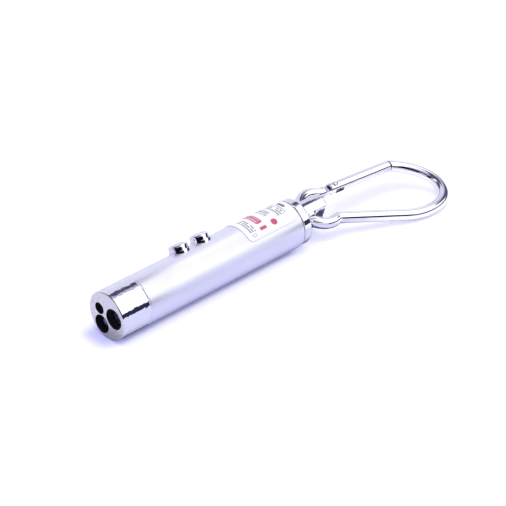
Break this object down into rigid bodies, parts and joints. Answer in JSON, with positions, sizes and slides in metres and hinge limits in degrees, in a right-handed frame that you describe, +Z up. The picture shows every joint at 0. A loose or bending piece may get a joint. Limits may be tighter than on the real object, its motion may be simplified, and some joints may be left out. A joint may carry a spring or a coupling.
{
  "type": "laser pointer keychain",
  "caption": "Slim metal laser pointer with lamp windows in its nose, side push buttons, a screw-off tail cap and a sprung wire carabiner through its lug.",
  "frame": {"origin": "centre of the round nose face, on the barrel's axis", "axes": "+X along the barrel from the nose face to the tail and the carabiner; +Z up as the pointer lies on a table, with the table at z = -7 mm; +Y across, away from the carabiner's straight arm"},
  "size_m": [0.1188, 0.025, 0.0157],
  "materials": {
    "nose_chrome": "polished chrome plate, sharp reflections",
    "barrel_aluminium": "satin drawn aluminium, faint draw lines along the barrel",
    "label_paper": null,
    "button_chrome": "polished chrome plate",
    "tail_chrome": "polished chrome plate, flats with fine milling lines",
    "wire_chrome": "bright nickel plated spring wire",
    "gate_chrome": "bright nickel plated bar",
    "rivet_steel": "plain steel rivet",
    "spring_steel": "drawn spring steel wire",
    "cell_steel": "satin nickel plated cell can",
    "module_brass": "turned brass",
    "lens_glass": "clear moulded lens",
    "lamp_clear": "clear epoxy lamp body",
    "contact_gold": "stamped contact, gold flash",
    "board_green": "green solder mask on glass epoxy",
    "chip_black": "black moulded chip bodies",
    "switch_black": "black nylon switch case",
    "stem_white": "natural nylon stem",
    "carrier_black": "black moulded carrier",
    "sleeve_clear": "milky clear plastic tube",
    "ring_rubber": "black nitrile rubber"
  },
  "bodies": {
    "barrel": {"nose_cap": "nose_chrome", "barrel_tube": "barrel_aluminium", "label": "label_paper", "front_button_collar": "button_chrome", "rear_button_collar": "button_chrome", "front_switch": "switch_black", "rear_switch": "switch_black", "main_board": "board_green", "driver_chips": "chip_black", "board_carrier": "carrier_black", "front_board": "board_green", "white_led": "lamp_clear", "violet_led": "lamp_clear", "led_leads": "spring_steel", "laser_housing": "module_brass", "collimating_lens": "lens_glass", "lens_spring": "spring_steel", "laser_diode": "cell_steel", "battery_sleeve": "sleeve_clear", "button_cell_1": "cell_steel", "button_cell_2": "cell_steel", "button_cell_3": "cell_steel", "front_contact": "contact_gold"},
    "button_front": {"front_button": "button_chrome", "front_switch_stem": "stem_white"},
    "button_rear": {"rear_button": "button_chrome", "rear_switch_stem": "stem_white"},
    "seal": {"o_ring": "ring_rubber"},
    "tail": {"tail_cap": "tail_chrome", "tail_spring": "spring_steel"},
    "clip": {"carabiner_body": "wire_chrome", "gate_rivet": "rivet_steel"},
    "gate": {"carabiner_gate": "gate_chrome", "gate_plunger": "rivet_steel", "gate_spring": "spring_steel"}
  },
  "joints": [
    {"name": "front_button_press", "type": "slide", "parent": "barrel", "child": "button_front", "axis": [0, -0.515, -0.8572], "range_m": [0, 0.0004], "stiffness_N_per_m": 2000, "springref_m": -0.0005},
    {"name": "rear_button_press", "type": "slide", "parent": "barrel", "child": "button_rear", "axis": [0, -0.515, -0.8572], "range_m": [0, 0.0004], "stiffness_N_per_m": 2000, "springref_m": -0.0005},
    {"name": "tail_cap_travel", "type": "slide", "parent": "barrel", "child": "seal", "axis": [1, 0, 0], "range_m": [0, 0.003]},
    {"name": "tail_cap_turn", "type": "hinge", "parent": "seal", "child": "tail", "pos_m": [0.0662, 0, 0], "axis": [1, 0, 0], "range_deg": [0, 1441]},
    {"name": "carabiner_swing", "type": "hinge", "parent": "tail", "child": "clip", "pos_m": [0.0731, 0, 0], "axis": [0, 0.9511, 0.309], "range_deg": [-100, 100]},
    {"name": "gate_open", "type": "hinge", "parent": "clip", "child": "gate", "pos_m": [0.08784, 0.0037, 0.0012], "axis": [0, 0.309, -0.9511], "range_deg": [0, 30], "stiffness_Nm_per_rad": 0.02, "springref_deg": -17.19}
  ],
  "couplings": [
    {"joint": "tail_cap_turn", "follows": "tail_cap_travel", "rad_per_m": 8377.6}
  ]
}
